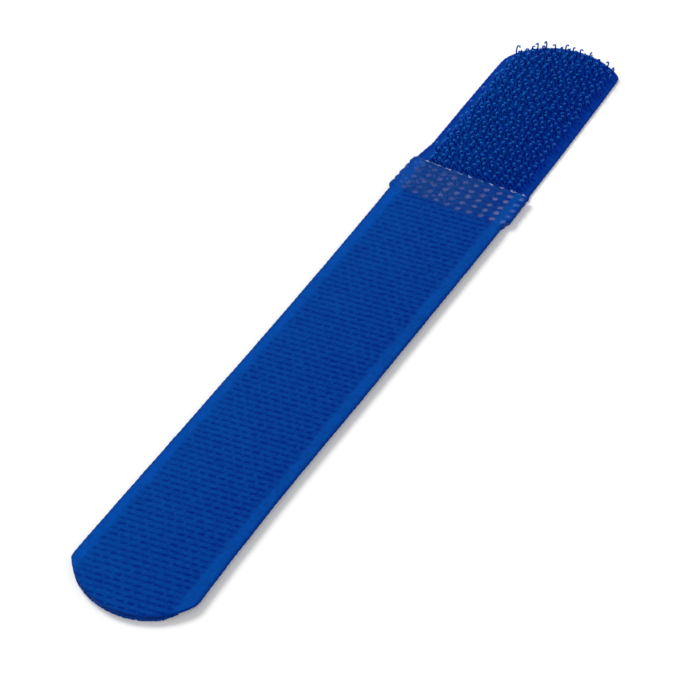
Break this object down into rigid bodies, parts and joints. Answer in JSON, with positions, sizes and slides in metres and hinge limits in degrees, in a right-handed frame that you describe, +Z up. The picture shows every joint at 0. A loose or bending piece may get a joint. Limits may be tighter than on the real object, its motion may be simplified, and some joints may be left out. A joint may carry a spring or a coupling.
{
  "type": "hook-and-loop cable tie",
  "caption": "Flat blue hook-and-loop cable tie that wraps a coiled audio cable: a woven loop strap with round ends, a welded overlap and a short hook tab.",
  "frame": {"origin": "on the surface that the strap lies on, under the middle of the strip", "axes": "+X along the strip from the round end of the loop tape to the round end of the hook tab, +Y across it, +Z up out of the woven back and the hooks"},
  "size_m": [0.1494, 0.0214, 0.0023],
  "materials": {
    "woven_loop_ground": "woven nylon tape, soft satin sheen, lighter smooth selvedges",
    "napped_loops": "soft napped nylon loops",
    "woven_hook_ground": "dense woven nylon ground",
    "hook_monofilament": "glossy blue nylon monofilament",
    "melted_nylon": "melted nylon",
    "weld_dots": "remelted whitish nylon"
  },
  "bodies": {
    "weld": {"weld_hook_web": "woven_hook_ground", "weld_melt": "melted_nylon", "weld_loop_web": "woven_loop_ground", "weld_dots": "weld_dots"},
    "loop_link_1": {"loop_web_1": "woven_loop_ground", "loop_pile_1": "napped_loops"},
    "loop_link_2": {"loop_web_2": "woven_loop_ground", "loop_pile_2": "napped_loops"},
    "loop_link_3": {"loop_web_3": "woven_loop_ground", "loop_pile_3": "napped_loops"},
    "loop_link_4": {"loop_web_4": "woven_loop_ground", "loop_pile_4": "napped_loops"},
    "loop_link_5": {"loop_web_5": "woven_loop_ground", "loop_pile_5": "napped_loops"},
    "loop_link_6": {"loop_web_6": "woven_loop_ground", "loop_pile_6": "napped_loops"},
    "loop_link_7": {"loop_web_7": "woven_loop_ground", "loop_pile_7": "napped_loops"},
    "loop_link_8": {"loop_web_8": "woven_loop_ground", "loop_pile_8": "napped_loops"},
    "loop_link_9": {"loop_web_9": "woven_loop_ground", "loop_pile_9": "napped_loops"},
    "loop_link_10": {"loop_web_10": "woven_loop_ground", "loop_pile_10": "napped_loops"},
    "loop_link_11": {"loop_web_11": "woven_loop_ground", "loop_pile_11": "napped_loops"},
    "loop_link_12": {"loop_web_12": "woven_loop_ground", "loop_pile_12": "napped_loops"},
    "loop_link_13": {"loop_web_13": "woven_loop_ground", "loop_pile_13": "napped_loops"},
    "loop_link_14": {"loop_web_14": "woven_loop_ground", "loop_pile_14": "napped_loops"},
    "loop_link_15": {"loop_web_15": "woven_loop_ground", "loop_pile_15": "napped_loops"},
    "loop_link_16": {"loop_web_16": "woven_loop_ground", "loop_pile_16": "napped_loops"},
    "loop_link_17": {"loop_web_17": "woven_loop_ground", "loop_pile_17": "napped_loops"},
    "loop_link_18": {"loop_web_18": "woven_loop_ground", "loop_pile_18": "napped_loops"},
    "loop_link_19": {"loop_web_19": "woven_loop_ground", "loop_pile_19": "napped_loops"},
    "loop_link_20": {"loop_web_20": "woven_loop_ground", "loop_pile_20": "napped_loops"},
    "tab_link_1": {"hook_web_1": "woven_hook_ground", "hooks_1": "hook_monofilament"},
    "tab_link_2": {"hook_web_2": "woven_hook_ground", "hooks_2": "hook_monofilament"},
    "tab_link_3": {"hook_web_3": "woven_hook_ground", "hooks_3": "hook_monofilament"},
    "tab_link_4": {"hook_web_4": "woven_hook_ground", "hooks_4": "hook_monofilament"},
    "tab_link_5": {"hook_web_5": "woven_hook_ground", "hooks_5": "hook_monofilament"},
    "tab_link_6": {"hook_web_6": "woven_hook_ground", "hooks_6": "hook_monofilament"},
    "tab_link_7": {"hook_web_7": "woven_hook_ground", "hooks_7": "hook_monofilament"},
    "tab_link_8": {"hook_web_8": "woven_hook_ground", "hooks_8": "hook_monofilament"}
  },
  "joints": [
    {"name": "wrap_1", "type": "hinge", "parent": "weld", "child": "loop_link_1", "pos_m": [0.02425, 0, 0.0015], "axis": [0, 1, 0], "range_deg": [0, 30]},
    {"name": "wrap_2", "type": "hinge", "parent": "loop_link_1", "child": "loop_link_2", "pos_m": [0.0193, 0, 0.0015], "axis": [0, 1, 0], "range_deg": [0, 25]},
    {"name": "wrap_3", "type": "hinge", "parent": "loop_link_2", "child": "loop_link_3", "pos_m": [0.01435, 0, 0.0015], "axis": [0, 1, 0], "range_deg": [0, 25.5]},
    {"name": "wrap_4", "type": "hinge", "parent": "loop_link_3", "child": "loop_link_4", "pos_m": [0.0094, 0, 0.0015], "axis": [0, 1, 0], "range_deg": [0, 26]},
    {"name": "wrap_5", "type": "hinge", "parent": "loop_link_4", "child": "loop_link_5", "pos_m": [0.00445, 0, 0.0015], "axis": [0, 1, 0], "range_deg": [0, 26.5]},
    {"name": "wrap_6", "type": "hinge", "parent": "loop_link_5", "child": "loop_link_6", "pos_m": [-0.0005, 0, 0.0015], "axis": [0, 1, 0], "range_deg": [0, 27]},
    {"name": "wrap_7", "type": "hinge", "parent": "loop_link_6", "child": "loop_link_7", "pos_m": [-0.00545, 0, 0.0015], "axis": [0, 1, 0], "range_deg": [0, 27.5]},
    {"name": "wrap_8", "type": "hinge", "parent": "loop_link_7", "child": "loop_link_8", "pos_m": [-0.0104, 0, 0.0015], "axis": [0, 1, 0], "range_deg": [0, 28]},
    {"name": "wrap_9", "type": "hinge", "parent": "loop_link_8", "child": "loop_link_9", "pos_m": [-0.01535, 0, 0.0015], "axis": [0, 1, 0], "range_deg": [0, 29]},
    {"name": "wrap_10", "type": "hinge", "parent": "loop_link_9", "child": "loop_link_10", "pos_m": [-0.0203, 0, 0.0015], "axis": [0, 1, 0], "range_deg": [0, 29.5]},
    {"name": "wrap_11", "type": "hinge", "parent": "loop_link_10", "child": "loop_link_11", "pos_m": [-0.02525, 0, 0.0015], "axis": [0, 1, 0], "range_deg": [0, 30]},
    {"name": "wrap_12", "type": "hinge", "parent": "loop_link_11", "child": "loop_link_12", "pos_m": [-0.0302, 0, 0.0015], "axis": [0, 1, 0], "range_deg": [0, 31]},
    {"name": "wrap_13", "type": "hinge", "parent": "loop_link_12", "child": "loop_link_13", "pos_m": [-0.03515, 0, 0.0015], "axis": [0, 1, 0], "range_deg": [0, 31.5]},
    {"name": "wrap_14", "type": "hinge", "parent": "loop_link_13", "child": "loop_link_14", "pos_m": [-0.0401, 0, 0.0015], "axis": [0, 1, 0], "range_deg": [0, 32]},
    {"name": "wrap_15", "type": "hinge", "parent": "loop_link_14", "child": "loop_link_15", "pos_m": [-0.04505, 0, 0.0015], "axis": [0, 1, 0], "range_deg": [0, 33]},
    {"name": "wrap_16", "type": "hinge", "parent": "loop_link_15", "child": "loop_link_16", "pos_m": [-0.05, 0, 0.0015], "axis": [0, 1, 0], "range_deg": [0, 33.5]},
    {"name": "wrap_17", "type": "hinge", "parent": "loop_link_16", "child": "loop_link_17", "pos_m": [-0.05495, 0, 0.0015], "axis": [0, 1, 0], "range_deg": [0, 34.5]},
    {"name": "wrap_18", "type": "hinge", "parent": "loop_link_17", "child": "loop_link_18", "pos_m": [-0.0599, 0, 0.0015], "axis": [0, 1, 0], "range_deg": [0, 35.5]},
    {"name": "wrap_19", "type": "hinge", "parent": "loop_link_18", "child": "loop_link_19", "pos_m": [-0.06485, 0, 0.0015], "axis": [0, 1, 0], "range_deg": [0, 36]},
    {"name": "wrap_20", "type": "hinge", "parent": "loop_link_19", "child": "loop_link_20", "pos_m": [-0.0698, 0, 0.0015], "axis": [0, 1, 0], "range_deg": [0, 37]},
    {"name": "close_1", "type": "hinge", "parent": "weld", "child": "tab_link_1", "pos_m": [0.03585, 0, 0.0006], "axis": [0, -1, 0], "range_deg": [0, 27]},
    {"name": "close_2", "type": "hinge", "parent": "tab_link_1", "child": "tab_link_2", "pos_m": [0.04071, 0, 0.0006], "axis": [0, -1, 0], "range_deg": [0, 21.5]},
    {"name": "close_3", "type": "hinge", "parent": "tab_link_2", "child": "tab_link_3", "pos_m": [0.04557, 0, 0.0006], "axis": [0, -1, 0], "range_deg": [0, 21.5]},
    {"name": "close_4", "type": "hinge", "parent": "tab_link_3", "child": "tab_link_4", "pos_m": [0.05044, 0, 0.0006], "axis": [0, -1, 0], "range_deg": [0, 21.5]},
    {"name": "close_5", "type": "hinge", "parent": "tab_link_4", "child": "tab_link_5", "pos_m": [0.0553, 0, 0.0006], "axis": [0, -1, 0], "range_deg": [0, 21.5]},
    {"name": "close_6", "type": "hinge", "parent": "tab_link_5", "child": "tab_link_6", "pos_m": [0.06016, 0, 0.0006], "axis": [0, -1, 0], "range_deg": [0, 21.5]},
    {"name": "close_7", "type": "hinge", "parent": "tab_link_6", "child": "tab_link_7", "pos_m": [0.06502, 0, 0.0006], "axis": [0, -1, 0], "range_deg": [0, 21.5]},
    {"name": "close_8", "type": "hinge", "parent": "tab_link_7", "child": "tab_link_8", "pos_m": [0.06989, 0, 0.0006], "axis": [0, -1, 0], "range_deg": [0, 21.5]}
  ],
  "couplings": [
    {"joint": "wrap_2", "follows": "wrap_1", "ratio": 0.83333},
    {"joint": "wrap_3", "follows": "wrap_1", "ratio": 0.85},
    {"joint": "wrap_4", "follows": "wrap_1", "ratio": 0.86667},
    {"joint": "wrap_5", "follows": "wrap_1", "ratio": 0.88333},
    {"joint": "wrap_7", "follows": "wrap_6", "ratio": 1.0185},
    {"joint": "wrap_8", "follows": "wrap_6", "ratio": 1.037},
    {"joint": "wrap_9", "follows": "wrap_6", "ratio": 1.0741},
    {"joint": "wrap_10", "follows": "wrap_6", "ratio": 1.0926},
    {"joint": "wrap_12", "follows": "wrap_11", "ratio": 1.0333},
    {"joint": "wrap_13", "follows": "wrap_11", "ratio": 1.05},
    {"joint": "wrap_14", "follows": "wrap_11", "ratio": 1.0667},
    {"joint": "wrap_15", "follows": "wrap_11", "ratio": 1.1},
    {"joint": "wrap_17", "follows": "wrap_16", "ratio": 1.0299},
    {"joint": "wrap_18", "follows": "wrap_16", "ratio": 1.0597},
    {"joint": "wrap_19", "follows": "wrap_16", "ratio": 1.0746},
    {"joint": "wrap_20", "follows": "wrap_16", "ratio": 1.1045},
    {"joint": "close_2", "follows": "close_1", "ratio": 0.7963},
    {"joint": "close_3", "follows": "close_1", "ratio": 0.7963},
    {"joint": "close_4", "follows": "close_1", "ratio": 0.7963},
    {"joint": "close_6", "follows": "close_5", "ratio": 1},
    {"joint": "close_7", "follows": "close_5", "ratio": 1},
    {"joint": "close_8", "follows": "close_5", "ratio": 1}
  ]
}
